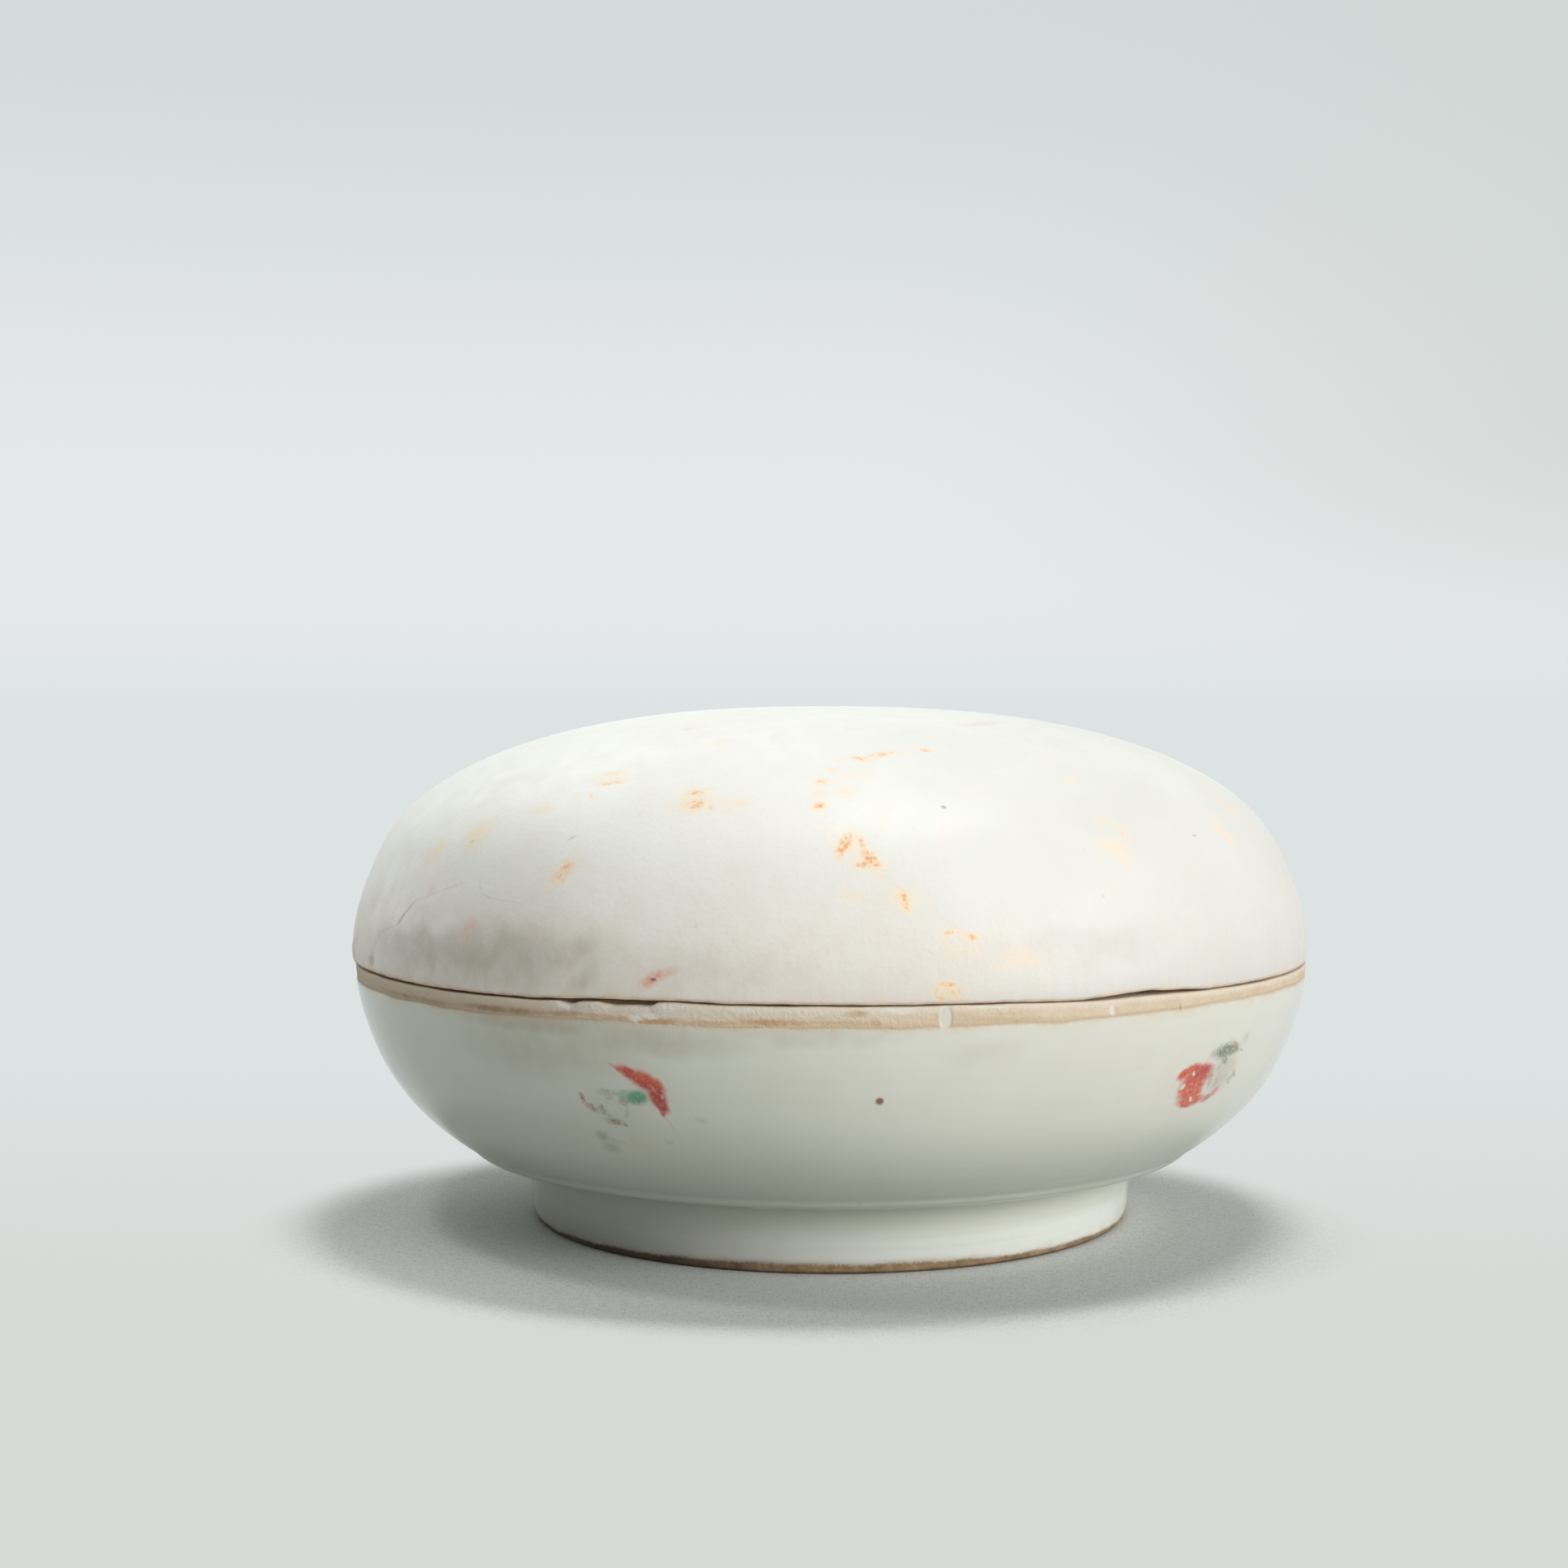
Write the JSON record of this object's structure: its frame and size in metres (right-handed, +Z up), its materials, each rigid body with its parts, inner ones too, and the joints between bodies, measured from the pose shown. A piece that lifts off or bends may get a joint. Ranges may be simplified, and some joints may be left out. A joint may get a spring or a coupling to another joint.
{
  "type": "porcelain covered box",
  "caption": "Round porcelain covered box: a low bowl on a foot ring with a seat and an upright flange, closed by a loose domed lid that lifts straight off.",
  "frame": {"origin": "on the vertical axis of turning, on the surface that the foot ring stands on", "axes": "+Z up along the axis of turning, the way the lid lifts; -Y faces the viewer of the picture, +X is to the viewer's right"},
  "size_m": [0.0898, 0.0898, 0.0482],
  "materials": {
    "bowl_glaze": "glossy pale greenish white glaze with worn enamel flowers, a bare tan band under the seat and a bare brown foot edge",
    "lid_glaze": "worn, nearly matt warm white glaze with traces of orange-red enamel and a bare rim"
  },
  "bodies": {
    "base": {"base_bowl": "bowl_glaze"},
    "lid": {"domed_lid": "lid_glaze"}
  },
  "joints": [
    {"name": "lid_lift", "type": "slide", "parent": "base", "child": "lid", "axis": [0, 0, 1], "range_m": [0, 0.06]}
  ]
}
